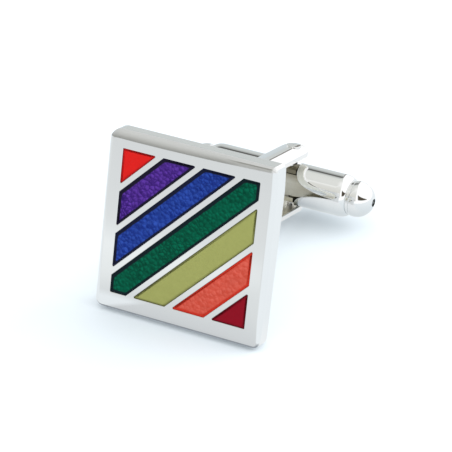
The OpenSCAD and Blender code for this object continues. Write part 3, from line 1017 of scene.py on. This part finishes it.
def buildFloor():
    mesh = bpy.data.meshes.new("floor")
    mesh.from_pydata([(*corner, 0) for corner in squareOf(studio["floorSize"] / 2)], [], [(0, 1, 2, 3)])
    floor = addObject("floor", mesh)
    material, tree, shader = newMaterial("paleTable")
    plug(shader, Base_Color=studio["floorColour"], Roughness=studio["floorRough"], Specular_IOR_Level=0.0)
    # painted reflection: glossy rays see the table glow in given tones, darker in front with a painted
    # contact shadow at the plate's foot, and darker behind on the left
    at = splitUp(objectSpot(tree))
    inFront = mirroredTones(times(at["Y"], 1 / mm), studio["tableFront"])
    leftPatch = window(at["X"], *(v * mm for v in studio["leftPatch"]))
    leftPatch = times(leftPatch, fade(at["Y"], studio["leftPatchFrom"]))
    lifted = node("ShaderNodeVectorMath", {"operation": "SCALE"}, i0=inFront,
                  Scale=mixValue(leftPatch, 1.0, studio["leftPatchLift"]))
    mirrored = mixColour(fade(at["Y"], studio["frontFrom"]), studio["underneath"], lifted.outputs[0])
    beside = times(fade(at["X"], studio["besideLeft"]), fade(at["Y"], studio["besideFrom"]))
    beside = larger(beside, fade(at["X"], studio["besideRight"]))
    mirrored = mixColour(beside, mirrored, studio["beside"])
    behind = times(fade(at["Y"], studio["behindFrom"]), fade(at["X"], studio["behindLeft"]))
    mirrored = mixColour(behind, mirrored, studio["behind"])
    # glossy and transmission rays see mostly this glow of painted reflection tones
    path = node("ShaderNodeLightPath", tree=tree).outputs
    lit = node("ShaderNodeEmission", Color=mirrored, Strength=1.0)
    bounced = larger(path["Is Glossy Ray"], path["Is Transmission Ray"])
    share = times(bounced, 1 - studio["keepMirrored"])
    mix = node("ShaderNodeMixShader", i0=share, i1=shader.outputs[0], i2=lit.outputs[0])
    plug(tree.nodes["Material Output"], Surface=mix.outputs[0])
    mesh.materials.append(material)


def buildSky():
    world = bpy.data.worlds.new("studio")
    bpy.context.scene.world = world
    world.use_nodes = True
    tree = world.node_tree
    tree.nodes.clear()
    at = splitUp(node("ShaderNodeTexCoord", tree=tree).outputs["Generated"])
    height = times(maths("ARCSINE", at["Z"]), 180 / pi)
    # the turn is 0 behind the cufflink and positive to the right
    turn = times(maths("ARCTAN2", at["X"], at["Y"]), 180 / pi)
    back, front = (mirroredTones(height, studio[k]) for k in ("backLeft", "front"))
    shown = mixColour(window(turn, *studio["backLeftTurn"]), studio["bright"], back)
    lowLeft = times(window(turn, *studio["lowLeftTurn"]), slope(height, *studio["lowLeftBelow"]))
    shown = mixColour(lowLeft, shown, studio["lowLeft"])
    shown = mixColour(slope(turn, *studio["frontFromTurn"]), shown, front)
    frontRight = times(slope(turn, *studio["frontRightTurn"]),
                       slope(height, *studio["frontRightAbove"]))
    shown = mixColour(frontRight, shown, front)
    # painted reflections of the left screen's dark stand, and of a dark slanted card in front on the right
    stand = times(window(turn, *studio["stand"]), slope(height, *studio["standBelow"]))
    slant = slope(turn, *studio["cardSlant"])
    low, high = (slope(height, *(mixValue(slant, *ends) for ends in studio[k]))
                 for k in ("cardLow", "cardHigh"))
    card = times(low, high, window(turn, *studio["cardTurn"]))
    shown = mixColour(larger(stand, card), shown, studio["dark"])
    # glossy rays alone see these painted reflections; other rays see an even sky, and the camera sees white
    path = node("ShaderNodeLightPath", tree=tree).outputs
    lit = mixColour(path["Is Glossy Ray"], (studio["skyLevel"],) * 3 + (1,), shown)
    final = mixColour(path["Is Camera Ray"], lit, (1, 1, 1, 1))
    background = node("ShaderNodeBackground", Color=final, Strength=1.0)
    node("ShaderNodeOutputWorld", Surface=background.outputs[0])


def buildKeyLight():
    data = bpy.data.lights.new("softKey", "AREA")
    data.shape, data.size, data.energy = "DISK", studio["keySize"], studio["keyLevel"]
    lamp = addObject("softKey", data)
    lamp.location = studio["keyPlace"]
    lamp.rotation_euler = (-lamp.location).to_track_quat("-Z", "Y").to_euler()
    lamp.visible_glossy = False


buildFloor()
buildSky()
buildKeyLight()
print("floor and light set")
